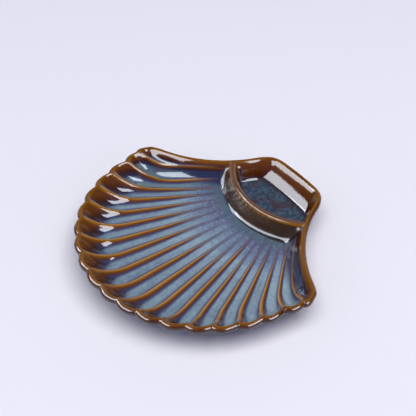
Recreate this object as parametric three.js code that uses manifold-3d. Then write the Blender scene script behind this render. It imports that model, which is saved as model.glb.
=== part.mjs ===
// Scallop-shell serving platter in glazed stoneware: a fluted, fan-shaped dish with a scalloped rim,
// a dip well at its hinge end, a curved wall between the two, and a foot ring underneath.
// Millimetres, +Z up. X runs from ear to ear and +Y from the fan edge to the hinge. The origin is on
// the table, under the middle of the platter's box.
import * as THREE from "three";
import { LoftGeometry } from "three/addons/geometries/LoftGeometry.js";
import { mergeGeometries, mergeVertices } from "three/addons/utils/BufferGeometryUtils.js";
import Module from "manifold-3d";

const { clamp, degToRad, lerp, smoothstep } = THREE.MathUtils;

// Heights and thicknesses
const RIM_HEIGHT = 34; // table to the crest of the rim
const FOOT_HEIGHT = 4; // table to the underside of the dish
const FLOOR_THICKNESS = 6; // underside to the bottom of a flute
const FLUTE_DEPTH = 2.4; // bottom of a flute to the crest of a rib
const WELL_DEPTH = 20; // crest of the rim to the floor of the dip well
const CREST_RADIUS = 1.6; // rounding of the rim's crest towards the inside
const LIP_RADIUS = 2.7; // rounding of the rim's crest towards the outside
const LIP_FALL = 1; // upright outer face of the rim below its rounding

// Outline of the rim's crest, seen from above. The fan's arc is centred on the frame's Z axis.
const FAN_RADIUS = 120.5; // through the notches where the ribs meet the rim
const SCALLOP_DEPTH = 3; // how far each lobe stands out between two notches
const EAR_ANGLE = degToRad(10.5); // how far each ear reaches past the fan's half circle
const EAR_FLARE = 8.5; // how far each ear stands out from the fan's arc
const UMBO_DISTANCE = 117.6; // centre of the fan's arc to the point that the ribs spring from
const HINGE_DISTANCE = 112; // centre of the fan's arc to the corners of the hinge line
const HINGE_HALF_WIDTH = 38;
const HINGE_BOW = 2; // how far the hinge line bows out between its corners
const SIDE_BOW = 16; // how far each side draws in between its ear and the hinge
const CORNER_ROUND = 3; // how far the rounding takes back an ear or a hinge corner
const CORNER_REACH = 16; // how far the rounding of a corner reaches along the edges

// Walls: their run, seen from above, from the crest of the rim to the floor
const RIB_WALL_RUN = 47; // along a rib, which ramps up to the rim
const FLUTE_WALL_RUN = 32; // along a flute, which ends in a steeper scoop
const SIDE_WALL_RUN = 20;
const WELL_SIDE_RUN = 16;
const HINGE_WALL_RUN = 24;
const BASE_INSET = 44; // fan's arc to the edge of the flat underside
const BASE_ROUND = 9; // the rounding of the underside's corners, before it is drawn in
const BASE_REACH = 45;
const WALL_SWEEP = 2.5; // how hollow the walls curve inside: 1 is a straight slope
const HINGE_SWEEP = 1.6; // the same for the wall at the hinge, which is straighter
const UNDER_SWEEP = 2.4; // the same for the outside

// Ribs and flutes
const RIBS = 19;
const END_FLUTE = 0.85; // share of a flute's width between the last rib and the ear
const RIB_SHARPNESS = 2.5; // how narrow the ribs are against the flutes
const FLUTE_START = 84; // distance from the umbo where the ribs begin to rise from the floor
const FLUTE_FULL = 150; // distance from the umbo where they have their full height
const WAIST_LEAN = 5; // how straight the ribs run before the outer ones lean in along the waist

// Divider wall: an arc about a point behind the hinge
const DIVIDER_RADIUS = 77; // to the middle of its top
const DIVIDER_FRONT = 52; // centre of the fan's arc to the middle of the divider's top
const DIVIDER_TOP = 6; // thickness of its rounded top
const DIVIDER_FLARE = 9; // how far its front spreads towards the floor
const DIVIDER_BACK_FLARE = 7; // the same for its face towards the well
const DIVIDER_SWEEP = degToRad(70); // how far each face turns from upright on its way down to the floor
const DIVIDER_DROP = 1; // crest of the rim to the top of the divider
const CLEARANCE = 0.3; // gap between the divider and the shell it is set in

// Foot ring
const FOOT_RADIUS = 60;
const FOOT_WALL = 7;
const FOOT_EDGE = 1.2; // rounding of the foot's lower edges

// Facets: where the curves are sampled, as shares of the way along each
const RIB_STEPS = [0, 0.18, 0.5, 0.82]; // from one rib to the next
const END_STEPS = [0.25, 0.5, 0.72, 0.88, 1]; // from the last rib to the side
const WALL_STEPS = [0, 0.025, 0.06, 0.12, 0.2, 0.31, 0.45, 0.62, 0.8, 1]; // down from the rim
const FLOOR_STEPS = [0.2, 0.42, 0.62, 0.78, 0.9, 1]; // from there to the divider
const WELL_STEPS = [0.8, 0.6, 0.45, 0.32, 0.21, 0.12, 0.06, 0.025, 0]; // from the divider to the hinge
const LIP_STEPS = [0.5, 1]; // over the rounding of the lip
const UNDER_STEPS = [0, 0.07, 0.17, 0.33, 0.55, 0.78, 1]; // from the lip to the underside
const FACE_STEPS = [0, 0.3, 0.55, 0.78, 1, 1.25]; // down a face of the divider, into the floor
const TOP_STEPS = [0.2, 0.4, 0.6, 0.8]; // over the divider's top
const DIVIDER_SIDES = 144; // facets in a full turn of the divider
const FOOT_SIDES = 72;
const WELD_DISTANCE = 1e-4; // corners closer than this are one corner

// Values that follow from these
const DISH_DEPTH = RIM_HEIGHT - FOOT_HEIGHT - FLOOR_THICKNESS - FLUTE_DEPTH;
const EAR_RADIUS = FAN_RADIUS + EAR_FLARE;
const ear = new THREE.Vector2(EAR_RADIUS * Math.cos(EAR_ANGLE), EAR_RADIUS * Math.sin(EAR_ANGLE));
const hingeCorner = new THREE.Vector2(HINGE_HALF_WIDTH, HINGE_DISTANCE);
const umbo = new THREE.Vector2(0, UMBO_DISTANCE);
const earReach = ear.distanceTo(umbo);
const fanAngle = Math.atan2(ear.x, UMBO_DISTANCE - ear.y);
const lastRib = (RIBS - 1) / 2;
const lastFlute = lastRib + END_FLUTE;
const dividerReach = UMBO_DISTANCE - DIVIDER_FRONT;
const wellReach = dividerReach - DIVIDER_TOP;

// Each side of the outline is an arc that hollows in, from the hinge corner to the ear.
const sideChord = ear.clone().sub(hingeCorner);
const sideRadius = (sideChord.lengthSq() / 4 + SIDE_BOW * SIDE_BOW) / (2 * SIDE_BOW);
const sideCentre = new THREE.Vector2(-sideChord.y, sideChord.x)
  .normalize()
  .multiplyScalar(sideRadius - SIDE_BOW)
  .add(hingeCorner)
  .addScaledVector(sideChord, 0.5);

// Angle at the umbo between the platter's middle line and its side, at a distance from the umbo.
function sideAngle(reach) {
  const r = Math.min(reach, earReach);
  const span = sideCentre.distanceTo(umbo);
  const toCentre = Math.atan2(sideCentre.x - umbo.x, umbo.y - sideCentre.y);
  const between = Math.acos((r * r + span * span - sideRadius * sideRadius) / (2 * r * span));
  return toCentre - between;
}

function sideHalfWidth(y) {
  return sideCentre.x - Math.sqrt(sideRadius ** 2 - (y - sideCentre.y) ** 2);
}

// Columns run from side to side: 0 is the middle rib, each whole number is a rib, and the sides are
// at plus and minus lastFlute. The ribs run straight from the umbo, except close to the sides.
function columnAngle(share, side) {
  return share * lerp(fanAngle, side, Math.abs(share) ** WAIST_LEAN);
}

function scallop(column) {
  return Math.abs(Math.sin(Math.PI * column));
}

function fluteHollow(column) {
  const hollow = 1 - Math.exp(-RIB_SHARPNESS * Math.sin(Math.PI * column) ** 2);
  return hollow / (1 - Math.exp(-RIB_SHARPNESS));
}

function wallRun(column) {
  return lerp(RIB_WALL_RUN, FLUTE_WALL_RUN, fluteHollow(column));
}

// The crest of the rim is a scalloped line. The underside's edge has no scallops and rounder corners.
const RIM_LINE = { scallop: SCALLOP_DEPTH, round: CORNER_ROUND, reach: CORNER_REACH };
const BASE_LINE = { scallop: 0, round: BASE_ROUND, reach: BASE_REACH };

// Distance from the umbo to the line along the fan.
function rimReach(column, line) {
  const angle = (fanAngle * column) / lastFlute;
  const across = UMBO_DISTANCE * Math.sin(angle);
  const fromEar = lastFlute - Math.abs(column);
  const flare = EAR_FLARE * (1 - smoothstep(fromEar, 0, 1 + END_FLUTE));
  const lobe = line.scallop * scallop(column) * smoothstep(fromEar, 0, 1);
  const radius = FAN_RADIUS + flare + lobe;
  return UMBO_DISTANCE * Math.cos(angle) + Math.sqrt(radius ** 2 - across ** 2);
}

// How far the inside has come down from the crest of the rim (0) to the floor (1).
function descent(distance, run, sweep = WALL_SWEEP) {
  const softness = (CREST_RADIUS * DISH_DEPTH * sweep) / run;
  const eased = Math.hypot(distance, softness) - softness;
  return 1 - (1 - Math.min(eased / run, 1)) ** sweep;
}

// How far a point near an ear or a hinge corner is drawn back from each of the two edges.
function cornerPull(fromSide, fromEnd, line) {
  const near = (distance) => (1 - clamp(distance / line.reach, 0, 1)) ** 2;
  return line.round * near(fromSide) * near(fromEnd);
}

// A point of the inside between the divider and the scalloped edge.
function dishPoint(column, reach, line) {
  const share = column / lastFlute;
  const side = sideAngle(reach);
  const fromRim = rimReach(column, line) - reach;
  const straight = columnAngle(share, side);
  const fromSide = (side - Math.abs(straight)) * reach;
  const pull = cornerPull(fromSide, fromRim, line);
  const r = reach - pull;
  const angle = straight - (share * pull) / reach;
  const seat = smoothstep(reach, wellReach, dividerReach + DIVIDER_TOP);
  const sideRun = lerp(WELL_SIDE_RUN, SIDE_WALL_RUN, seat);
  const down = descent(fromRim, wallRun(column)) * descent(fromSide, sideRun);
  const flute = FLUTE_DEPTH * smoothstep(reach, FLUTE_START, FLUTE_FULL) * fluteHollow(column);
  const depth = lerp(WELL_DEPTH, DISH_DEPTH, seat) + flute * down;
  return new THREE.Vector3(r * Math.sin(angle), umbo.y - r * Math.cos(angle), RIM_HEIGHT - depth * down);
}

// A point of the inside between the hinge (0) and the divider (1).
function wellPoint(column, share, line) {
  const across = column / lastFlute;
  const side = sideAngle(wellReach);
  const hingeY = HINGE_DISTANCE + HINGE_BOW * (1 - across * across);
  const angle = columnAngle(across, side);
  const y = lerp(hingeY, umbo.y - wellReach * Math.cos(angle), share);
  const sideY = lerp(HINGE_DISTANCE, umbo.y - wellReach * Math.cos(side), share);
  const width = lerp(HINGE_HALF_WIDTH, wellReach * Math.sin(side), share);
  const x = lerp(HINGE_HALF_WIDTH * across, wellReach * Math.sin(angle), share);
  const fromHinge = hingeY - y;
  const fromSide = lerp((1 - Math.abs(across)) * HINGE_HALF_WIDTH, (side - Math.abs(angle)) * wellReach, share);
  const pull = cornerPull(fromSide, fromHinge, line);
  const down = descent(fromHinge, HINGE_WALL_RUN, HINGE_SWEEP) * descent(fromSide, WELL_SIDE_RUN);
  return new THREE.Vector3(
    (x * sideHalfWidth(sideY)) / width - Math.sign(column) * pull,
    y - pull,
    RIM_HEIGHT - WELL_DEPTH * down,
  );
}

// Rows of points over the inside, from the scalloped edge to the hinge, and the closed line round it.
function insideRows(columns, line) {
  const wallFoot = (column) => rimReach(column, line) - RIB_WALL_RUN;
  const wall = WALL_STEPS.map((step) => (column) =>
    dishPoint(column, rimReach(column, line) - step * RIB_WALL_RUN, line));
  const floor = FLOOR_STEPS.map((step) => (column) =>
    dishPoint(column, lerp(wallFoot(column), wellReach, step), line));
  const well = WELL_STEPS.map((step) => (column) => wellPoint(column, step, line));
  return [...wall, ...floor, ...well].map((row) => columns.map((column) => row(column)));
}

// The edge of the rows, clockwise seen from above.
function edgeOf(rows) {
  const sides = rows.slice(1, -1);
  return [
    ...rows[0].toReversed(),
    ...sides.map((row) => row[0]),
    ...rows.at(-1),
    ...sides.toReversed().map((row) => row.at(-1)),
  ];
}

// Columns on each rib, beside it and in the middle of each flute, and closer ones up the sides.
const endColumns = END_STEPS.map((step) => lastRib + END_FLUTE * step);
const columns = [
  ...endColumns.toReversed().map((column) => -column),
  ...Array.from({ length: RIBS - 1 }, (_, i) => RIB_STEPS.map((step) => i - lastRib + step)).flat(),
  lastRib,
  ...endColumns,
];
const inside = insideRows(columns, RIM_LINE);
const crest = edgeOf(inside);
const baseLine = edgeOf(insideRows(columns, BASE_LINE));

// The underside is a smaller outline of the same shape, drawn in towards one point.
const baseShare = 1 - BASE_INSET / FAN_RADIUS;
const baseCentreY = (HINGE_DISTANCE - FAN_RADIUS) / 2;
function drawnIn(point, share, height) {
  return new THREE.Vector3(point.x * share, lerp(baseCentreY, point.y, share), height);
}

function outwards(loop, i) {
  const before = loop.at(i - 1);
  const after = loop[(i + 1) % loop.length];
  return new THREE.Vector3(before.y - after.y, after.x - before.x, 0).normalize();
}

function closedBody(...pieces) {
  const geometry = mergeGeometries(pieces.map((piece) => {
    const bare = piece.index ? piece.toNonIndexed() : piece;
    bare.deleteAttribute("normal");
    bare.deleteAttribute("uv");
    return bare;
  }));
  return mergeVertices(geometry, WELD_DISTANCE);
}

// The shell: its inside, then rings over the lip, down the outer wall and across the underside.
function shellDish() {
  const lipZ = RIM_HEIGHT - LIP_RADIUS - LIP_FALL;
  const rings = [crest];
  for (const step of LIP_STEPS) {
    const turn = (step * Math.PI) / 2;
    const drop = LIP_RADIUS * (1 - Math.cos(turn));
    rings.push(crest.map((p, i) =>
      p.clone().addScaledVector(outwards(crest, i), LIP_RADIUS * Math.sin(turn)).setZ(p.z - drop)));
  }
  const lip = rings.at(-1);
  for (const share of UNDER_STEPS) {
    const height = lerp(FOOT_HEIGHT, lipZ, (1 - share) ** UNDER_SWEEP);
    rings.push(lip.map((p, i) => p.clone().lerp(drawnIn(baseLine[i], baseShare, 0), share).setZ(height)));
  }
  return closedBody(new LoftGeometry(inside, { closed: false }), new LoftGeometry(rings, { capEnd: true }));
}

const wasm = await Module();
wasm.setup();

function toSolid(geometry) {
  const vertProperties = new Float32Array(geometry.attributes.position.array);
  const triVerts = new Uint32Array(geometry.index.array);
  return new wasm.Manifold(new wasm.Mesh({ numProp: 3, vertProperties, triVerts }));
}

function toGeometry(solid) {
  const { vertProperties, triVerts } = solid.getMesh();
  const geometry = new THREE.BufferGeometry();
  geometry.setAttribute("position", new THREE.BufferAttribute(vertProperties, 3));
  geometry.setIndex(new THREE.BufferAttribute(triVerts, 1));
  return geometry;
}

// The room inside the shell, a clearance away from its walls and floor.
function roomInside() {
  const surface = new LoftGeometry(inside, { closed: false });
  const normals = surface.attributes.normal;
  const rows = inside.map((row, i) => row.map((p, j) => {
    const normal = new THREE.Vector3().fromBufferAttribute(normals, i * columns.length + j);
    return p.clone().addScaledVector(normal, CLEARANCE);
  }));
  const edge = edgeOf(rows).toReversed();
  const overRim = 2 * RIM_HEIGHT;
  const lid = edge.map((p) => p.clone().setZ(overRim));
  return closedBody(
    new LoftGeometry(rows.toReversed(), { closed: false }),
    new LoftGeometry([edge, lid], { capEnd: true }),
  );
}

// The divider: a turned wall with a rounded top and flared foot, trimmed to the room inside the shell.
function dividerWall() {
  const half = DIVIDER_TOP / 2;
  const top = RIM_HEIGHT - DIVIDER_DROP;
  const shoulder = top - half;
  const out = (share) => (1 - Math.cos(share * DIVIDER_SWEEP)) / (1 - Math.cos(DIVIDER_SWEEP));
  const down = (share) => ((DISH_DEPTH - half) * Math.sin(share * DIVIDER_SWEEP)) / Math.sin(DIVIDER_SWEEP);
  const spread = (flare) => FACE_STEPS.map((share) =>
    new THREE.Vector2(half + flare * out(share), shoulder - down(share)));
  const rounding = TOP_STEPS.map((turn) =>
    new THREE.Vector2(half * Math.cos(Math.PI * turn), shoulder + half * Math.sin(Math.PI * turn)));
  const back = spread(DIVIDER_BACK_FLARE).map((p) => new THREE.Vector2(-p.x, p.y));
  const section = [...spread(DIVIDER_FLARE).toReversed(), ...rounding, ...back];
  const profile = [...section, section[0]].map((p) => new THREE.Vector2(DIVIDER_RADIUS + p.x, p.y));
  const turned = new THREE.LatheGeometry(profile, DIVIDER_SIDES)
    .rotateX(Math.PI / 2)
    .translate(0, DIVIDER_FRONT + DIVIDER_RADIUS, 0);
  return toGeometry(toSolid(closedBody(turned)).intersect(toSolid(roomInside())));
}

// The foot: a turned ring with rounded lower edges.
function footRing() {
  const inner = FOOT_RADIUS - FOOT_WALL;
  const profile = [
    new THREE.Vector2(inner, FOOT_HEIGHT),
    new THREE.Vector2(inner, FOOT_EDGE),
    new THREE.Vector2(inner + FOOT_EDGE, 0),
    new THREE.Vector2(FOOT_RADIUS - FOOT_EDGE, 0),
    new THREE.Vector2(FOOT_RADIUS, FOOT_EDGE),
    new THREE.Vector2(FOOT_RADIUS, FOOT_HEIGHT),
  ];
  const turned = new THREE.LatheGeometry([...profile, profile[0]], FOOT_SIDES).rotateX(Math.PI / 2);
  return closedBody(turned.translate(0, baseCentreY, 0));
}

function piece(name, geometry, color, roughness) {
  const mesh = new THREE.Mesh(geometry, new THREE.MeshStandardMaterial({ color, roughness, metalness: 0 }));
  mesh.name = name;
  return mesh;
}

const platter = new THREE.Group();
platter.add(
  piece("shell_dish", shellDish(), 0x5b5c66, 0.12),
  piece("divider_wall", dividerWall(), 0x5a4230, 0.12),
  piece("foot_ring", footRing(), 0xb5a58e, 0.85),
);
const box = new THREE.Box3().setFromObject(platter);
platter.position.y = -(box.min.y + box.max.y) / 2;

export default platter;
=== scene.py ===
import math

import bmesh
import bpy
from mathutils import Matrix, Vector
from mathutils.bvhtree import BVHTree


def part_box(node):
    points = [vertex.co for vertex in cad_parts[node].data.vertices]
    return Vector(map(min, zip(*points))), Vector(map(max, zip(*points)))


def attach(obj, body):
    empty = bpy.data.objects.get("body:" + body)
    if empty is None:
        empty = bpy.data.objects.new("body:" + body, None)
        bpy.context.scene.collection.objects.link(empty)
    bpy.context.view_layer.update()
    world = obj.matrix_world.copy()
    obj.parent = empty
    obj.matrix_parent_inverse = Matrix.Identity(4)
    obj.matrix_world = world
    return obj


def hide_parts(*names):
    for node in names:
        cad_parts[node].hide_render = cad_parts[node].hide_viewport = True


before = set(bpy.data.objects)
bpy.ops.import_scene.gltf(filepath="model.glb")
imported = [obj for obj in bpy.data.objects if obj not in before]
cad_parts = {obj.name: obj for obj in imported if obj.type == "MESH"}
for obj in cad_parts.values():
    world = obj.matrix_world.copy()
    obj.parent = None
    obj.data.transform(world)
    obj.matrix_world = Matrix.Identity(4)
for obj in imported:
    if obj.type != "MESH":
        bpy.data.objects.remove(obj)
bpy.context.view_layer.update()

# Shell dish
# One slab of stoneware clay, pressed over a fluted mould: a fan-shaped floor with ribs between its
# flutes, scalloped walls, two ears, a waist, and a well at the hinge end. Its rim is sponged round.
shell_low, shell_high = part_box("shell_dish")
RIM_HEIGHT = shell_high.z
UNDERSIDE_HEIGHT = shell_low.z
FLOOR_THICKNESS = 0.006
FLUTE_DEPTH = 0.0024
WELL_DEPTH = 0.020

# The outline: the fan with its scallops and ears, the bowed waist and the hinge
FAN_RADIUS = 0.1205
SCALLOP_DEPTH = 0.003
EAR_ANGLE = math.radians(10.5)
EAR_FLARE = 0.0085
UMBO_DISTANCE = 0.1176
HINGE_DISTANCE = 0.112
HINGE_HALF_WIDTH = 0.038
HINGE_BOW = 0.002
SIDE_BOW = 0.016
CORNER_ROUND = 0.003
CORNER_REACH = 0.016

# The walls: how far each one runs in from the rim, and how steeply it starts
RIB_WALL_RUN = 0.047
FLUTE_WALL_RUN = 0.032
SIDE_WALL_RUN = 0.020
HINGE_WALL_RUN = 0.018
WELL_SIDE_RUN = 0.009
WALL_SWEEP = 2.5
HINGE_SWEEP = 1.8
WELL_SIDE_SWEEP = 1.3

# The crest and the lip of the rim, and the base that the outer wall sweeps in to
CREST_RADIUS = 0.0016
HINGE_CREST = 0.0024
LIP_RADIUS = 0.0027
LIP_FALL = 0.003
BASE_INSET = 0.044
BASE_ROUND = 0.009
BASE_REACH = 0.045
UNDER_SWEEP = 2.4

# The ribs, counted from 0 in the middle to LAST_RIB on each side. Those on the right have strayed.
LAST_RIB = 9
END_FLUTE = 0.85
RIB_SHARPNESS = 2.5
WAIST_LEAN = 5
FLUTE_START = 0.084
FLUTE_FULL = 0.150
RIB_STRAY = 0.45
FIRST_STRAYED_RIB = 2
FULLY_STRAYED_RIB = 6

# The bed that is left for the divider
DIVIDER_FRONT = 0.052
DIVIDER_TOP = 0.006

DISH_DEPTH = RIM_HEIGHT - UNDERSIDE_HEIGHT - FLOOR_THICKNESS - FLUTE_DEPTH
FAN_CENTRE_Y = shell_high.y - HINGE_DISTANCE - HINGE_BOW - LIP_RADIUS
LAST_FLUTE = LAST_RIB + END_FLUTE
DIVIDER_REACH = UMBO_DISTANCE - DIVIDER_FRONT
WELL_REACH = DIVIDER_REACH - DIVIDER_TOP
ear = Vector((math.cos(EAR_ANGLE), math.sin(EAR_ANGLE))) * (FAN_RADIUS + EAR_FLARE)
hinge_corner = Vector((HINGE_HALF_WIDTH, HINGE_DISTANCE))
umbo = Vector((0, UMBO_DISTANCE))
FAN_ANGLE = math.atan2(ear.x, UMBO_DISTANCE - ear.y)
EAR_REACH = (ear - umbo).length
side_chord = ear - hinge_corner
SIDE_RADIUS = (side_chord.length_squared / 4 + SIDE_BOW ** 2) / (2 * SIDE_BOW)
side_centre = Vector((-side_chord.y, side_chord.x)).normalized() * (SIDE_RADIUS - SIDE_BOW)
side_centre += hinge_corner + side_chord / 2


def between(a, b, share):
    return a + (b - a) * share


def rise(value, low, high):
    share = min(max((value - low) / (high - low), 0), 1)
    return share * share * (3 - 2 * share)


def side_angle(reach):
    r = min(reach, EAR_REACH)
    span = (side_centre - umbo).length
    to_centre = math.atan2(side_centre.x, UMBO_DISTANCE - side_centre.y)
    return to_centre - math.acos((r * r + span * span - SIDE_RADIUS ** 2) / (2 * r * span))


def side_half_width(y):
    return side_centre.x - math.sqrt(SIDE_RADIUS ** 2 - (y - side_centre.y) ** 2)


def column_angle(share, side):
    return share * between(FAN_ANGLE, side, abs(share) ** WAIST_LEAN)


def flute_hollow(column):
    hollow = 1 - math.exp(-RIB_SHARPNESS * math.sin(math.pi * column) ** 2)
    return hollow / (1 - math.exp(-RIB_SHARPNESS))


RIM_LINE = {"scallop": SCALLOP_DEPTH, "round": CORNER_ROUND, "reach": CORNER_REACH}
BASE_LINE = {"scallop": 0, "round": BASE_ROUND, "reach": BASE_REACH}


def rim_reach(column, line):
    angle = FAN_ANGLE * column / LAST_FLUTE
    across = UMBO_DISTANCE * math.sin(angle)
    from_ear = LAST_FLUTE - abs(column)
    flare = EAR_FLARE * (1 - rise(from_ear, 0, 1 + END_FLUTE))
    lobe = line["scallop"] * abs(math.sin(math.pi * column)) * rise(from_ear, 0, 1)
    radius = FAN_RADIUS + flare + lobe
    return UMBO_DISTANCE * math.cos(angle) + math.sqrt(radius ** 2 - across ** 2)


def descent(distance, run, sweep=WALL_SWEEP, crest_radius=CREST_RADIUS):
    softness = crest_radius * DISH_DEPTH * sweep / run
    eased = math.hypot(distance, softness) - softness
    return 1 - (1 - min(eased / run, 1)) ** sweep


def corner_pull(from_side, from_end, line):
    near_side = 1 - min(max(from_side / line["reach"], 0), 1)
    near_end = 1 - min(max(from_end / line["reach"], 0), 1)
    return line["round"] * near_side ** 2 * near_end ** 2


def strayed(column, from_rim):
    stray = RIB_STRAY * rise(column, FIRST_STRAYED_RIB, FULLY_STRAYED_RIB)
    stray *= 1 - rise(column, LAST_RIB, LAST_FLUTE)
    return column + stray * rise(from_rim, 0, RIB_WALL_RUN)


def dish_point(column, reach, line):
    share = column / LAST_FLUTE
    side = side_angle(reach)
    from_rim = rim_reach(column, line) - reach
    angle = column_angle(share, side)
    from_side = (side - abs(angle)) * reach
    pull = corner_pull(from_side, from_rim, line)
    r = reach - pull
    angle -= share * pull / reach
    hollow = flute_hollow(strayed(column, from_rim))
    wall_run = between(RIB_WALL_RUN, FLUTE_WALL_RUN, hollow)
    seat = rise(reach, WELL_REACH, DIVIDER_REACH + DIVIDER_TOP)
    side_run = between(WELL_SIDE_RUN, SIDE_WALL_RUN, seat)
    side_sweep = between(WELL_SIDE_SWEEP, WALL_SWEEP, seat)
    fall = descent(from_rim, wall_run) * descent(from_side, side_run, side_sweep)
    flute = FLUTE_DEPTH * rise(reach, FLUTE_START, FLUTE_FULL) * hollow
    depth = between(WELL_DEPTH, DISH_DEPTH, seat) + flute * fall
    x = r * math.sin(angle)
    y = UMBO_DISTANCE - r * math.cos(angle)
    return Vector((x, y, RIM_HEIGHT - depth * fall)), min(from_rim, from_side), fall


def well_point(column, share, line):
    across = column / LAST_FLUTE
    side = side_angle(WELL_REACH)
    hinge_y = HINGE_DISTANCE + HINGE_BOW * (1 - across ** 2)
    angle = column_angle(across, side)
    y = between(hinge_y, UMBO_DISTANCE - WELL_REACH * math.cos(angle), share)
    side_y = between(HINGE_DISTANCE, UMBO_DISTANCE - WELL_REACH * math.cos(side), share)
    width = between(HINGE_HALF_WIDTH, WELL_REACH * math.sin(side), share)
    x = between(HINGE_HALF_WIDTH * across, WELL_REACH * math.sin(angle), share)
    from_hinge = hinge_y - y
    hinge_margin = (1 - abs(across)) * HINGE_HALF_WIDTH
    from_side = between(hinge_margin, (side - abs(angle)) * WELL_REACH, share)
    pull = corner_pull(from_side, from_hinge, line)
    fall = descent(from_hinge, HINGE_WALL_RUN, HINGE_SWEEP, HINGE_CREST)
    fall *= descent(from_side, WELL_SIDE_RUN, WELL_SIDE_SWEEP)
    x = x * side_half_width(side_y) / width - math.copysign(pull, column)
    return Vector((x, y - pull, RIM_HEIGHT - WELL_DEPTH * fall)), min(from_hinge, from_side), fall


# The inside is a grid: its columns fan out over the ribs, its rows go from the rim to the hinge.
# Both crowd together towards the edge, where the clay bends most.
RIB_CUTS = 14
SIDE_CUTS = 22
WALL_ROWS = 46
FLOOR_ROWS = 52
WELL_ROWS = 48
SIDE_CROWDING = 1.5
WALL_CROWDING = 1.7
WELL_CROWDING = 1.5
COLUMNS = 2 * (LAST_RIB * RIB_CUTS + SIDE_CUTS)
ROWS = WALL_ROWS + FLOOR_ROWS + WELL_ROWS


def column_at(place):
    from_middle = place - COLUMNS / 2
    past_rib = abs(from_middle) - LAST_RIB * RIB_CUTS
    if past_rib <= 0:
        return from_middle / RIB_CUTS
    share = 1 - (1 - past_rib / SIDE_CUTS) ** SIDE_CROWDING
    return math.copysign(LAST_RIB + END_FLUTE * share, from_middle)


def inside_point(column, row, line):
    edge = rim_reach(column, line)
    if row <= WALL_ROWS:
        return dish_point(column, edge - RIB_WALL_RUN * (row / WALL_ROWS) ** WALL_CROWDING, line)
    if row <= WALL_ROWS + FLOOR_ROWS:
        share = (row - WALL_ROWS) / FLOOR_ROWS
        return dish_point(column, between(edge - RIB_WALL_RUN, WELL_REACH, share), line)
    return well_point(column, ((ROWS - row) / WELL_ROWS) ** WELL_CROWDING, line)


clay = bmesh.new()
column_layer = clay.verts.layers.float.new("column")
reach_layer = clay.verts.layers.float.new("reach")
edge_layer = clay.verts.layers.float.new("from_edge")
fall_layer = clay.verts.layers.float.new("fall")
turn_layer = clay.verts.layers.int.new("rim_turn")
rim_places = [(0, j) for j in range(COLUMNS)]
rim_places += [(i, COLUMNS) for i in range(ROWS)]
rim_places += [(ROWS, j) for j in range(COLUMNS, 0, -1)]
rim_places += [(i, 0) for i in range(ROWS, 0, -1)]
rim_turns = {place: turn for turn, place in enumerate(rim_places)}
bmesh.ops.create_grid(clay, x_segments=COLUMNS, y_segments=ROWS, size=1)
for vert in clay.verts:
    j = round((vert.co.x + 1) / 2 * COLUMNS)
    i = round((vert.co.y + 1) / 2 * ROWS)
    column = column_at(j)
    vert.co, vert[edge_layer], vert[fall_layer] = inside_point(column, i, RIM_LINE)
    reach = (vert.co.xy - umbo).length
    vert[column_layer] = strayed(column, rim_reach(column, RIM_LINE) - reach)
    vert[reach_layer] = reach
    vert[turn_layer] = rim_turns.get((i, j), -1)

# The lip rolls over from the crest, and the outer wall sweeps in to the flat underside.
LIP_RINGS = 10
LIP_FLATNESS = 1.4
UNDER_RINGS = 16
UNDER_CROWDING = 1.4
base_share = 1 - BASE_INSET / FAN_RADIUS
base_centre = Vector((0, (HINGE_DISTANCE - FAN_RADIUS) / 2))
crest = [inside_point(column_at(j), i, RIM_LINE)[0] for i, j in rim_places]
base = [inside_point(column_at(j), i, BASE_LINE)[0].xy for i, j in rim_places]
base = [base_centre + (point - base_centre) * base_share for point in base]
outwards = []
for turn in range(len(crest)):
    along = crest[(turn + 1) % len(crest)] - crest[turn - 1]
    outwards.append(Vector((along.y, -along.x, 0)).normalized())


def add_ring(points):
    rim = [edge for edge in clay.edges if edge.is_boundary]
    grown = bmesh.ops.extrude_edge_only(clay, edges=rim)["geom"]
    for vert in grown:
        if isinstance(vert, bmesh.types.BMVert):
            vert.co = points[vert[turn_layer]]
            vert[edge_layer] = vert.co.z - RIM_HEIGHT


lip = crest
for ring in range(1, LIP_RINGS + 1):
    bend = math.pi / 2 * ring / LIP_RINGS
    drop = Vector((0, 0, LIP_RADIUS * (1 - math.cos(bend) ** LIP_FLATNESS)))
    reach_out = LIP_RADIUS * math.sin(bend) ** LIP_FLATNESS
    lip = [p + out * reach_out - drop for p, out in zip(crest, outwards)]
    add_ring(lip)
outer_top = RIM_HEIGHT - LIP_RADIUS - LIP_FALL
for ring in range(UNDER_RINGS + 1):
    share = (ring / UNDER_RINGS) ** UNDER_CROWDING
    height = between(UNDERSIDE_HEIGHT, outer_top, (1 - share) ** UNDER_SWEEP)
    add_ring([p.xy.lerp(low, share).to_3d() + Vector((0, 0, height)) for p, low in zip(lip, base)])
sole = [edge for edge in clay.edges if edge.is_boundary]
bmesh.ops.contextual_create(clay, geom=sole)
bmesh.ops.translate(clay, verts=clay.verts, vec=(0, FAN_CENTRE_Y, 0))
bmesh.ops.recalc_face_normals(clay, faces=clay.faces)
shell_surface = BVHTree.FromBMesh(clay)


def make_piece(name, shape):
    mesh = bpy.data.meshes.new(name)
    shape.to_mesh(mesh)
    shape.free()
    mesh.polygons.foreach_set("use_smooth", [True] * len(mesh.polygons))
    piece = bpy.data.objects.new(name, mesh)
    bpy.context.scene.collection.objects.link(piece)
    return piece


shell = make_piece("shell_dish_glazed", clay)


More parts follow.
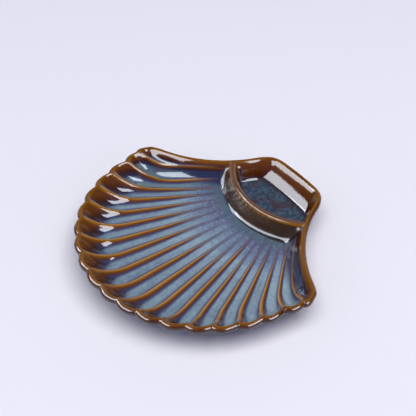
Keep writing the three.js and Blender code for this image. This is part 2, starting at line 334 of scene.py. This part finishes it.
class Value:
    """A shader socket that Python's own operators work on."""

    def __init__(self, finish, socket):
        self.finish = finish
        self.socket = socket

    def maths(self, operation, *values):
        return self.finish.node("ShaderNodeMath", {"operation": operation}, dict(enumerate(values)))

    def __add__(self, other):
        return self.maths("ADD", self, other)

    def __sub__(self, other):
        return self.maths("SUBTRACT", self, other)

    def __mul__(self, other):
        return self.maths("MULTIPLY", self, other)

    def __rsub__(self, other):
        return self.maths("SUBTRACT", other, self)

    def __truediv__(self, other):
        return self.maths("DIVIDE", self, other)

    def __abs__(self):
        return self.maths("ABSOLUTE", self)

    __radd__ = __add__
    __rmul__ = __mul__

    def rounded(self):
        return self.maths("ROUND", self)

    def fraction(self):
        return self.maths("FRACT", self)

    def step(self, low, high):
        limits = {"Value": self, "From Min": low, "From Max": high}
        return self.finish.node("ShaderNodeMapRange", {"interpolation_type": "SMOOTHSTEP"}, limits)


class Finish:
    """The nodes of a material or of the studio round it, which end in one shader."""

    def __init__(self, holder):
        holder.use_nodes = True
        self.holder = holder
        self.tree = holder.node_tree
        self.tree.nodes.clear()

    def node(self, kind, settings, sockets, output=0):
        made = self.tree.nodes.new(kind)
        for name, value in settings.items():
            if name == "stops":
                ramp = made.color_ramp
                while len(ramp.elements) < len(value):
                    ramp.elements.new(1)
                for element, (position, tone) in zip(ramp.elements, value):
                    element.position = position
                    element.color = tone
            else:
                setattr(made, name, value)
        for name, value in sockets.items():
            if isinstance(value, Value):
                self.tree.links.new(value.socket, made.inputs[name])
            else:
                made.inputs[name].default_value = value
        return made if output is None else Value(self, made.outputs[output])

    def attribute(self, name):
        return self.node("ShaderNodeAttribute", {"attribute_name": name}, {}, "Fac")

    def clouds(self, where, scale, detail):
        sockets = {"Vector": where, "Scale": scale, "Detail": detail}
        return self.node("ShaderNodeTexNoise", {}, sockets, "Fac")

    def ramp(self, share, *stops):
        return self.node("ShaderNodeValToRGB", {"stops": stops}, {"Fac": share}, "Color")

    def mix(self, share, first, second):
        return self.node("ShaderNodeMix", {"data_type": "RGBA"}, {0: share, 6: first, 7: second}, 2)

    def surface(self, shader, output="ShaderNodeOutputMaterial"):
        self.node(output, {}, {"Surface": shader}, None)


def colour(red, green, blue):
    parts = [value / 255 for value in (red, green, blue)]
    return [p / 12.92 if p < 0.04045 else ((p + 0.055) / 1.055) ** 2.4 for p in parts] + [1]


# The glaze: where it lies thin, on the rim, the ribs and the walls, the iron in it burns through as
# amber and brown. Where it runs together on the floor it turns slate blue, with violet between them.
# It follows the mesh: column counts the ribs, reach is measured from the umbo and from_edge from the
# crest of the rim, below 0 on the outside, and fall goes from 0 at the rim to 1 on the floor.
AMBER = colour(146, 95, 14)
BURNT = colour(112, 66, 8)
CHESTNUT = colour(88, 46, 14)
UMBER = colour(62, 36, 26)
PLUM = colour(58, 48, 62)
INDIGO = colour(66, 76, 112)
NIGHT_BLUE = colour(44, 50, 80)
SLATE = colour(136, 157, 170)
PALE_SLATE = colour(158, 180, 186)
POOL_GREEN = colour(84, 106, 114)
STREAKS_PER_RIB = 2.6
STREAKS_PER_METRE = 26
STREAKS_PER_FALL = 0.6
DRIFT_SCALE = 55
MOTTLE_SCALE = 260
SPECKLE_SCALE = 950
glaze = Finish(bpy.data.materials.new("reactive_glaze"))
place = glaze.node("ShaderNodeTexCoord", {}, {}, "Object")
column = glaze.attribute("column")
reach = glaze.attribute("reach")
from_edge = glaze.attribute("from_edge")
fall = glaze.attribute("fall")
run_off = glaze.node("ShaderNodeCombineXYZ", {}, {
    "X": column * STREAKS_PER_RIB,
    "Y": reach * STREAKS_PER_METRE,
    "Z": fall * STREAKS_PER_FALL,
})
streaks = glaze.clouds(run_off, 1.0, 3.0)
drift = glaze.clouds(place, DRIFT_SCALE, 3.0)
mottle = glaze.clouds(place, MOTTLE_SCALE, 3.0)
speckle = glaze.clouds(place, SPECKLE_SCALE, 2.0)

# Flutes: violet by the divider, palest in the middle of the floor, deeper again towards the wall
FLUTE_COAT_START = 0.066
FLUTE_COAT_RUN = 0.16
FLUTE_DRIFT = 0.22
along_flute = (reach - FLUTE_COAT_START) / FLUTE_COAT_RUN
slate = glaze.ramp(
    along_flute + (drift - 0.5) * FLUTE_DRIFT,
    (0.0, POOL_GREEN),
    (0.13, colour(96, 100, 130)),
    (0.24, colour(116, 134, 158)),
    (0.36, colour(144, 168, 179)),
    (0.55, SLATE),
    (0.8, colour(124, 147, 160)),
)
slate = glaze.mix(mottle.step(0.45, 0.8) * 0.3, slate, PALE_SLATE)
slate = glaze.mix((1 - mottle.step(0.2, 0.5)) * 0.2, slate, INDIGO)
slate = glaze.mix(speckle.step(0.45, 0.75) * 0.5, slate, PALE_SLATE)
slate = glaze.mix((1 - speckle.step(0.3, 0.5)) * 0.3, slate, INDIGO)

# Ribs: amber along the crest, with a painted highlight on the flank towards lower columns and painted
# shade, brown and then plum, on the flank towards higher ones. Each one comes up at its own distance
# from the umbo, those by the waist nearer to it. The right ones are finer.
COLUMN_ANGLE = FAN_ANGLE / LAST_FLUTE
WAIST_RIBS = (6.6, 8.4)
FINER_RIBS = (0, 6)
RIB_CHANCE = 0.37
RIB_START = 0.088
RIB_START_SPREAD = 0.030
WAIST_RIB_LEAD = 0.034
RIB_LINE = 0.0006
RIB_LINE_GAIN = 0.0011
RIB_SWELL = (-0.012, 0.085)
WALL_LINE_GAIN = 0.0006
RIB_WOBBLE = 0.0009
RIB_BANDS = 6
# The pale crest tone is a painted highlight.
PAINTED_CREST_HIGHLIGHT = colour(190, 150, 96)
MAUVE = colour(106, 90, 104)
rib = column.rounded()
chance = glaze.node("ShaderNodeTexWhiteNoise", {"noise_dimensions": "1D"}, {"W": rib + RIB_CHANCE}, "Value")
near_waist = abs(column).step(*WAIST_RIBS)
past_start = reach - (chance * RIB_START_SPREAD + RIB_START - near_waist * WAIST_RIB_LEAD)
on_wall = 1 - fall.step(0.5, 0.95)
rib_width = past_start.step(*RIB_SWELL) * RIB_LINE_GAIN * (1 - near_waist * 0.5)
rib_width = rib_width * (1 - column.step(*FINER_RIBS) * 0.35)
rib_width = rib_width + on_wall * (1 - near_waist) * WALL_LINE_GAIN + RIB_LINE
from_rib = (column - rib) * reach * COLUMN_ANGLE + (streaks - 0.5) * RIB_WOBBLE
across = from_rib / rib_width
# Across each rib: the pale stop is a painted highlight, and the brown and plum stops on the higher-column
# side are painted shade.
rib_colour_and_painted_light = glaze.ramp(
    across / RIB_BANDS + 0.5,
    (0.12, INDIGO),
    (0.27, MAUVE),
    (0.39, PAINTED_CREST_HIGHLIGHT),
    (0.47, colour(170, 124, 60)),
    (0.58, AMBER),
    (0.71, colour(100, 56, 22)),
    (0.84, colour(74, 60, 76)),
    (0.98, INDIGO),
)
rib_mask = across.step(-2.7, -1.7) * (1 - across.step(2.3 - on_wall * 1.4, 3.8 - on_wall * 2.0))

# Beside each rib the blue deepens, and its faded inner end leaves a brown stain. The left flutes
# have come out darker and greener.
FRINGE_START = (-0.030, 0.020)
STAIN_START = (-0.034, -0.004)
LEFT_FLUTES = (-8.5, -5.5)
STAIN = colour(104, 72, 76)
DEEP_TEAL = colour(52, 74, 84)
fringe = (1 - abs(across).step(1.6, 4.6)) * past_start.step(*FRINGE_START)
stain = (1 - abs(across).step(0.8, 4.0)) * past_start.step(*STAIN_START)
coat = glaze.mix(fringe * 0.65, slate, INDIGO)
coat = glaze.mix((1 - column.step(*LEFT_FLUTES)) * 0.65, coat, DEEP_TEAL)
coat = glaze.mix(stain * 0.5, coat, STAIN)

# The glaze pools green along the foot of the divider. The floor is darker blue along the waist, towards
# the divider. The well is blue, with brown drifts.
DIVIDER_RADIUS = 0.077
POOL_START = (0.0, 0.004)
POOL_END = (0.014, 0.026)
WELL_EDGE = (-0.004, 0.0)
SHADE_TAPER = 30
SHADE_EDGE = (4.5, 5.3)
SHADE_END = (0.10, 0.16)
EAR_RIBS = (8.8, 9.2)
EAR_SHADE_GAIN = 0.03
WELL_BLUE = colour(52, 70, 88)
WELL_BROWN = colour(76, 50, 48)
divider_centre_y = FAN_CENTRE_Y + DIVIDER_FRONT + DIVIDER_RADIUS
flat = glaze.node("ShaderNodeVectorMath", {"operation": "MULTIPLY_ADD"},
                  {0: place, 1: (1, 1, 0), 2: (0, -divider_centre_y, 0)}, "Vector")
from_axis = glaze.node("ShaderNodeVectorMath", {"operation": "LENGTH"}, {0: flat}, "Value")
from_divider = from_axis - DIVIDER_RADIUS
pool = from_divider.step(*POOL_START) * (1 - from_divider.step(*POOL_END))
coat = glaze.mix(pool * 0.7, coat, POOL_GREEN)
by_ear = abs(column).step(*EAR_RIBS) * EAR_SHADE_GAIN
waist_shade = (abs(column) - reach * SHADE_TAPER).step(*SHADE_EDGE)
waist_shade = waist_shade * (1 - (reach - by_ear).step(*SHADE_END)) * 0.9
coat = glaze.mix(waist_shade, coat, NIGHT_BLUE)
in_well = 1 - from_divider.step(*WELL_EDGE)
well_floor = glaze.mix(mottle.step(0.35, 0.7) * 0.2, WELL_BLUE, SLATE)
well_floor = glaze.mix(drift.step(0.52, 0.64) * 0.7, well_floor, WELL_BROWN)
coat = glaze.mix(in_well, coat, well_floor)

# Walls: brown below each rib, then plum and blue as the glaze runs together towards the next one.
# It has run further down on the right, and furthest along the waist.
FURTHER_RUN = (-2, 4)
RIB_COAT_START = (-0.006, 0.030)
RIBS_BY_DIVIDER = (0.010, 0.018)
on_slope = fall * (1 - fall) * 4
run_down = (column.fraction() - 0.45) * on_slope * 0.9
run_down = run_down + column.step(*FURTHER_RUN) * on_slope * 0.3
run_down = run_down + near_waist * fall.step(0.12, 0.5) * 0.55
uneven_fall = fall + run_down * (1 - in_well) + (streaks - 0.5) * 0.16 + (mottle - 0.5) * 0.05
wall_colour = glaze.ramp(
    uneven_fall,
    (0.0, BURNT),
    (0.22, colour(104, 58, 14)),
    (0.42, CHESTNUT),
    (0.62, UMBER),
    (0.82, PLUM),
    (0.92, NIGHT_BLUE),
    (1.0, INDIGO),
)
well_wall = glaze.ramp(
    uneven_fall,
    (0.0, BURNT),
    (0.4, colour(102, 52, 12)),
    (0.7, colour(76, 34, 12)),
    (0.88, colour(56, 28, 24)),
    (1.0, PLUM),
)
wall_colour = glaze.mix(in_well, wall_colour, well_wall)
coat = glaze.mix(1 - uneven_fall.step(0.86, 1.04), coat, wall_colour)
rib_mask = rib_mask * past_start.step(*RIB_COAT_START) * from_divider.step(*RIBS_BY_DIVIDER)
coat = glaze.mix(rib_mask * (1 - waist_shade * 0.5), coat, rib_colour_and_painted_light)

# A bubble that burst in the kiln has left a dark ring by the right ear
BUBBLE_X = 0.1070
BUBBLE_Y = 0.0253
BUBBLE_RADIUS = 0.0024
bubble = (BUBBLE_X, BUBBLE_Y - divider_centre_y, 0)
from_bubble = glaze.node("ShaderNodeVectorMath", {"operation": "DISTANCE"}, {0: flat, 1: bubble}, "Value")
from_bubble = from_bubble / BUBBLE_RADIUS
bubble_ring = from_bubble.step(0.3, 0.8) * (1 - from_bubble.step(1.1, 1.6))
coat = glaze.mix(bubble_ring, coat, NIGHT_BLUE)

# Divider: thin glaze, amber on the edges of its top and brown below, darkest at the right end.
# Its mesh leaves reach at 0. On the shell, only the middle of the hinge comes as near to the umbo.
DIVIDER_MARK = (0.01, 0.02)
FRONT_EDGE = (-0.0040, -0.0035)
TOP_EDGE = (-0.0022, -0.0004)
RIGHT_END = (-0.02, 0.05)
TOP_BROWN = colour(104, 76, 62)
END_BROWN = colour(38, 22, 6)
right_end = glaze.node("ShaderNodeSeparateXYZ", {}, {"Vector": place}, "X").step(*RIGHT_END)
divider_colour = glaze.ramp(
    fall + (drift - 0.5) * 0.15,
    (0.0, colour(112, 76, 22)),
    (0.12, colour(100, 66, 12)),
    (0.35, colour(84, 55, 16)),
    (0.75, colour(78, 54, 34)),
    (0.93, PLUM),
    (1.0, POOL_GREEN),
)
divider_colour = glaze.mix(right_end * 0.7, divider_colour, END_BROWN)
top_colour = glaze.mix(from_edge.step(*TOP_EDGE), TOP_BROWN, AMBER)
divider_colour = glaze.mix(fall.step(0.0, 0.06), top_colour, divider_colour)
on_divider = 1 - reach.step(*DIVIDER_MARK)
divider_front = on_divider * from_divider.step(*FRONT_EDGE)
coat = glaze.mix(divider_front, coat, divider_colour)

# Rim: amber just below the crest. Further down the outside is brown, with blue where it has run.
RIM_COAT_LOW = -0.008
RIM_COAT_HIGH = 0.004
RIM_INNER_EDGE = (0.0014, 0.0044)
RIM_OUTER_EDGE = (-0.0100, -0.0070)
OUTER_BLUE_EDGE = (-0.026, -0.012)
along_rim = (from_edge - RIM_COAT_LOW) / (RIM_COAT_HIGH - RIM_COAT_LOW)
rim_colour = glaze.ramp(
    along_rim + (drift - 0.5) * 0.3,
    (0.2, colour(54, 30, 24)),
    (0.47, colour(62, 32, 14)),
    (0.56, colour(90, 48, 8)),
    (0.63, colour(112, 66, 4)),
    (0.74, colour(136, 86, 10)),
    (1.0, BURNT),
)
above_outside = from_edge.step(*RIM_OUTER_EDGE)
rim = (1 - from_edge.step(*RIM_INNER_EDGE)) * above_outside * (1 - on_divider)
coat = glaze.mix(rim, coat, rim_colour)
outer_brown = glaze.mix(streaks.step(0.4, 0.6), UMBER, CHESTNUT)
outer_blue = glaze.mix(mottle.step(0.3, 0.7), INDIGO, SLATE)
run_blue = (1 - from_edge.step(*OUTER_BLUE_EDGE)) * streaks.step(0.35, 0.6)
outer_colour = glaze.mix(run_blue, outer_brown, outer_blue)
coat = glaze.mix((1 - above_outside) * (1 - on_divider), coat, outer_colour)

# The fired surface is glassy, a little duller on the face of the divider and at its right end
GLAZE_ROUGHNESS = 0.04
MOTTLED_ROUGHNESS = 0.06
DULL_FACE = 0.14
DULL_END = 0.3
DULL_RIBS = (6.0, 7.0)
DULL_RUN = (0.085, 0.105)
GLAZE_IOR = 1.5
RIPPLE_STRENGTH = 0.16
RIPPLE_HEIGHT = 0.0008
dull_face = divider_front * fall.step(0.05, 0.2) * (1 - fall.step(0.8, 0.9)) * DULL_FACE
dull_end = column.step(*DULL_RIBS) * (1 - reach.step(*DULL_RUN))
dull_end = dull_end * (1 - in_well) * fall.step(0.2, 0.5) * DULL_END
ripple = glaze.node("ShaderNodeBump", {}, {
    "Strength": RIPPLE_STRENGTH,
    "Distance": RIPPLE_HEIGHT,
    "Height": drift * 0.6 + mottle * 0.25 + speckle * 0.02,
}, "Normal")
glaze.surface(glaze.node("ShaderNodeBsdfPrincipled", {}, {
    "Base Color": coat,
    "Roughness": mottle * MOTTLED_ROUGHNESS + GLAZE_ROUGHNESS + dull_face + dull_end,
    "IOR": GLAZE_IOR,
    "Normal": ripple,
}))
shell.data.materials.append(glaze.holder)
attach(shell, "root")
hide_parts("shell_dish")

# Divider wall
# A strip of the same clay, set on the floor in an arc and luted to it and to the rim at both ends.
# Its top is rounded and its faces lean out, and slip smooths its foot into the floor with no seam.
DIVIDER_FLARE = 0.0091
DIVIDER_BACK_FLARE = 0.0075
FACE_LEAN = 0.59
FOOT_SWEEP = 9
DIVIDER_DROP = 0.001
TOP_SHARE = 0.35
END_MARGIN = 0.0012
END_FILLET = 0.0012
SEAM_DEPTH = 0.0002
BED_DEPTH = 0.001
ARC_CUTS = 120
PROFILE_CUTS = 48
END_CROWDING = 1.5
HALVINGS = 40
DIVIDER_HEIGHT = RIM_HEIGHT - DIVIDER_DROP


def floor_height(x, y):
    return shell_surface.ray_cast(Vector((x, y, 2 * RIM_HEIGHT)), Vector((0, 0, -1)))[0].z


def end_angle(radius):
    low, high = 0, math.pi / 2
    for _ in range(HALVINGS):
        angle = (low + high) / 2
        y = divider_centre_y - radius * math.cos(angle)
        if radius * math.sin(angle) < side_half_width(y - FAN_CENTRE_Y) - END_MARGIN:
            low = angle
        else:
            high = angle
    return low


def divider_profile(across):
    half = DIVIDER_TOP / 2
    flare = DIVIDER_FLARE if across > 0 else DIVIDER_BACK_FLARE
    if abs(across) < TOP_SHARE:
        bend = math.pi / 2 * abs(across) / TOP_SHARE
        return math.copysign(half * math.sin(bend), across), half * (1 - math.cos(bend)), 0
    bend = math.pi / 2 * (abs(across) - TOP_SHARE) / (1 - TOP_SHARE)
    fall = math.sin(bend)
    spread = between(fall ** FOOT_SWEEP, fall, FACE_LEAN)
    return math.copysign(half + flare * spread, across), half, fall


wall = bmesh.new()
wall.verts.layers.float.new("column")
wall.verts.layers.float.new("reach")
wall_edge = wall.verts.layers.float.new("from_edge")
wall_fall = wall.verts.layers.float.new("fall")
bmesh.ops.create_grid(wall, x_segments=ARC_CUTS, y_segments=PROFILE_CUTS, size=1)
for vert in wall.verts:
    along = math.copysign(1 - (1 - abs(vert.co.x)) ** END_CROWDING, vert.co.x)
    offset, drop, fall = divider_profile(-vert.co.y)
    radius = DIVIDER_RADIUS + offset
    angle = along * end_angle(radius)
    x = radius * math.sin(angle)
    y = divider_centre_y - radius * math.cos(angle)
    floor = floor_height(x, y)
    gap = DIVIDER_HEIGHT - floor
    top = (DIVIDER_HEIGHT + floor + math.hypot(gap, END_FILLET)) / 2
    shoulder = max(top - drop, floor - SEAM_DEPTH)
    vert.co = (x, y, between(shoulder, floor - SEAM_DEPTH, fall))
    vert[wall_fall] = fall
    vert[wall_edge] = abs(offset) - DIVIDER_TOP / 2
under = bmesh.ops.duplicate(wall, geom=wall.faces)["geom"]
for vert in under:
    if isinstance(vert, bmesh.types.BMVert):
        vert.co.z = floor_height(vert.co.x, vert.co.y) - SEAM_DEPTH - BED_DEPTH
rims = [edge for edge in wall.edges if edge.is_boundary]
bmesh.ops.bridge_loops(wall, edges=rims)
bmesh.ops.recalc_face_normals(wall, faces=wall.faces)
divider = make_piece("divider_wall_glazed", wall)
divider.data.materials.append(glaze.holder)
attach(divider, "root")
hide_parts("divider_wall")

# Foot ring
# A coil of clay thrown on under the dish and turned true. It is wiped clean of glaze, so that it
# doesn't stick to the kiln shelf, and it shows the bare fired stoneware.
foot_low, foot_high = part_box("foot_ring")
FOOT_WALL = 0.007
FOOT_EDGE = 0.0012
FOOT_EDGE_CUTS = 4
FOOT_SIDES = 160
GRAIN_SCALE = 900
IRON_SCALE = 420
TOOTH_STRENGTH = 0.3
TOOTH_HEIGHT = 0.0003
PALE_CLAY = colour(204, 187, 162)
DARK_CLAY = colour(184, 164, 136)
IRON_SPOT = colour(128, 92, 62)
foot_radius = (foot_high.x - foot_low.x) / 2
foot_centre = (foot_low + foot_high) / 2
ring = bmesh.new()
bmesh.ops.create_grid(ring, x_segments=1, y_segments=1, size=0.5)
bmesh.ops.scale(ring, verts=ring.verts, vec=(FOOT_WALL, foot_high.z, 1))
bmesh.ops.rotate(ring, verts=ring.verts, matrix=Matrix.Rotation(math.pi / 2, 3, "X"))
bmesh.ops.translate(ring, verts=ring.verts, vec=(foot_radius - FOOT_WALL / 2, 0, foot_high.z / 2))
lower = [vert for vert in ring.verts if vert.co.z < foot_centre.z]
bmesh.ops.bevel(ring, geom=lower, affect="VERTICES", offset=FOOT_EDGE, segments=FOOT_EDGE_CUTS,
                profile=0.5, material=-1)
bmesh.ops.spin(ring, geom=ring.verts[:] + ring.edges[:] + ring.faces[:], axis=(0, 0, 1), cent=(0, 0, 0),
               angle=2 * math.pi, steps=FOOT_SIDES, use_merge=True)
inner_faces = [face for face in ring.faces if all(len(edge.link_faces) > 2 for edge in face.edges)]
bmesh.ops.delete(ring, geom=inner_faces, context="FACES")
bmesh.ops.translate(ring, verts=ring.verts, vec=(foot_centre.x, foot_centre.y, 0))
bmesh.ops.recalc_face_normals(ring, faces=ring.faces)
foot = make_piece("foot_ring_bare", ring)
bare = Finish(bpy.data.materials.new("bare_stoneware"))
place = bare.node("ShaderNodeTexCoord", {}, {}, "Object")
grain = bare.clouds(place, GRAIN_SCALE, 3.0)
iron = bare.clouds(place, IRON_SCALE, 1.0).step(0.6, 0.7)
fired_clay = bare.mix(grain.step(0.35, 0.65), PALE_CLAY, DARK_CLAY)
fired_clay = bare.mix(iron * 0.6, fired_clay, IRON_SPOT)
tooth = bare.node("ShaderNodeBump", {}, {
    "Strength": TOOTH_STRENGTH,
    "Distance": TOOTH_HEIGHT,
    "Height": grain,
}, "Normal")
bare.surface(bare.node("ShaderNodeBsdfPrincipled", {}, {
    "Base Color": fired_clay,
    "Roughness": grain * 0.2 + 0.7,
    "Normal": tooth,
}))
foot.data.materials.append(bare.holder)
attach(foot, "root")
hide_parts("foot_ring")

# Table
# A plain sheet of pale matt paper that the platter stands on. It runs out far past the platter on
# every side, and only its fine fibres break up its tone.
TABLE_HALF_WIDTH = 2.0
FIBRE_SCALE = 700
DARK_FIBRE = colour(236, 235, 240)
PALE_FIBRE = colour(238, 237, 242)
sheet = bmesh.new()
bmesh.ops.create_grid(sheet, x_segments=1, y_segments=1, size=TABLE_HALF_WIDTH)
table = make_piece("table", sheet)
paper = Finish(bpy.data.materials.new("pale_paper"))
place = paper.node("ShaderNodeTexCoord", {}, {}, "Object")
fibres = paper.clouds(place, FIBRE_SCALE, 4.0)
paper.surface(paper.node("ShaderNodeBsdfPrincipled", {}, {
    "Base Color": paper.mix(fibres.step(0.3, 0.7), DARK_FIBRE, PALE_FIBRE),
    "Roughness": fibres * 0.1 + 0.85,
}))
table.data.materials.append(paper.holder)

# Light
# A broad lamp hangs above and leans to the camera's side. Low ones stand left and right of the camera
# and further round to the left: the glaze mirrors them. The studio is dim, bluest on the camera's
# side, with a pale backdrop behind the platter. Where the camera sees past the table, it is pale too.
LIGHT_DISTANCE = 4.0
SHINE_DISTANCE = 3.8
LIGHT_TINT = (1, 1, 1)
SHINE_TINT = (0.87, 0.92, 1)


def add_softbox(name, azimuth, elevation, width, height, light=0, shine=0):
    """A lamp as the platter sees it, in degrees, with one brightness to light and one to be mirrored."""
    azimuth = math.radians(azimuth)
    elevation = math.radians(elevation)
    level = math.cos(elevation)
    towards = Vector((math.sin(azimuth) * level, math.cos(azimuth) * level, math.sin(elevation)))
    for use, distance, radiance in (("light", LIGHT_DISTANCE, light), ("shine", SHINE_DISTANCE, shine)):
        if radiance == 0:
            continue
        data = bpy.data.lights.new(f"{name}_{use}", "AREA")
        data.shape = "RECTANGLE"
        data.size = 2 * distance * math.tan(math.radians(width / 2))
        data.size_y = 2 * distance * math.tan(math.radians(height / 2))
        data.energy = radiance * math.pi * data.size * data.size_y
        data.color = LIGHT_TINT if use == "light" else SHINE_TINT
        lamp = bpy.data.objects.new(data.name, data)
        lamp.location = towards * distance
        lamp.rotation_euler = (-towards).to_track_quat("-Z", "Y").to_euler()
        lamp.visible_camera = False
        lamp.visible_diffuse = use == "light"
        lamp.visible_glossy = use == "shine"
        bpy.context.scene.collection.objects.link(lamp)


add_softbox("left_lamp", azimuth=196, elevation=34, width=62, height=25, light=0.3, shine=12.5)
add_softbox("right_lamp", azimuth=82, elevation=28, width=42, height=23, light=0.5, shine=14.0)
add_softbox("far_lamp", azimuth=236, elevation=33, width=18, height=20, shine=11.0)
add_softbox("top_lamp", azimuth=108, elevation=74, width=60, height=40, light=4.2)
BACKDROP_AZIMUTH = math.radians(-52)
BACKDROP_TOP = math.sin(math.radians(36))
BACKDROP_FADE = 0.12
BACKDROP_SIDES = (0.4, 0.65)
FRONT_FADE = (-0.8, 0.0)
BACKDROP_TONE = (0.5, 0.5, 0.54, 1)
FRONT_TONE = (0.05, 0.05, 0.24, 1)
BACK_TONE = (0.04, 0.04, 0.1, 1)
SEEN_TONE = colour(233, 232, 246)
studio = Finish(bpy.data.worlds.new("studio"))
direction = studio.node("ShaderNodeTexCoord", {}, {}, "Generated")
backdrop_facing = (math.sin(BACKDROP_AZIMUTH), math.cos(BACKDROP_AZIMUTH), 0)
behind = studio.node("ShaderNodeVectorMath", {"operation": "DOT_PRODUCT"},
                     {0: direction, 1: backdrop_facing}, "Value")
upward = studio.node("ShaderNodeSeparateXYZ", {}, {"Vector": direction}, "Z")
backdrop = behind.step(*BACKDROP_SIDES) * (1 - upward.step(BACKDROP_TOP - BACKDROP_FADE, BACKDROP_TOP))
studio_tone = studio.mix(behind.step(*FRONT_FADE), FRONT_TONE, BACK_TONE)
studio_tone = studio.mix(backdrop, studio_tone, BACKDROP_TONE)
seen = studio.node("ShaderNodeLightPath", {}, {}, "Is Camera Ray")
studio_tone = studio.mix(seen, studio_tone, SEEN_TONE)
studio.surface(studio.node("ShaderNodeBackground", {}, {"Color": studio_tone}), "ShaderNodeOutputWorld")
bpy.context.scene.world = studio.holder

# Camera
# It looks down on the platter from its front right, as the photograph does. Its focal length is in
# the photograph's pixels, the best of those that were tried.
CAMERA_AZIMUTH = math.radians(52.02)
CAMERA_ELEVATION = math.radians(44.56)
CAMERA_DISTANCE = 0.9564
CAMERA_AIM = Vector((-0.01726, 0.01808, 0.034))
FOCAL_PIXELS = 1000
PHOTO_PIXELS = 416
SENSOR_WIDTH = 36
camera_data = bpy.data.cameras.new("camera")
camera_data.sensor_width = SENSOR_WIDTH
camera_data.lens = SENSOR_WIDTH * FOCAL_PIXELS / PHOTO_PIXELS
camera = bpy.data.objects.new("camera", camera_data)
sideways = math.sin(CAMERA_AZIMUTH) * math.cos(CAMERA_ELEVATION)
forwards = -math.cos(CAMERA_AZIMUTH) * math.cos(CAMERA_ELEVATION)
back = Vector((sideways, forwards, math.sin(CAMERA_ELEVATION)))
camera.location = CAMERA_AIM + back * CAMERA_DISTANCE
camera.rotation_euler = (-back).to_track_quat("-Z", "Y").to_euler()
bpy.context.scene.collection.objects.link(camera)
bpy.context.scene.camera = camera
bpy.context.scene.view_settings.view_transform = "Standard"
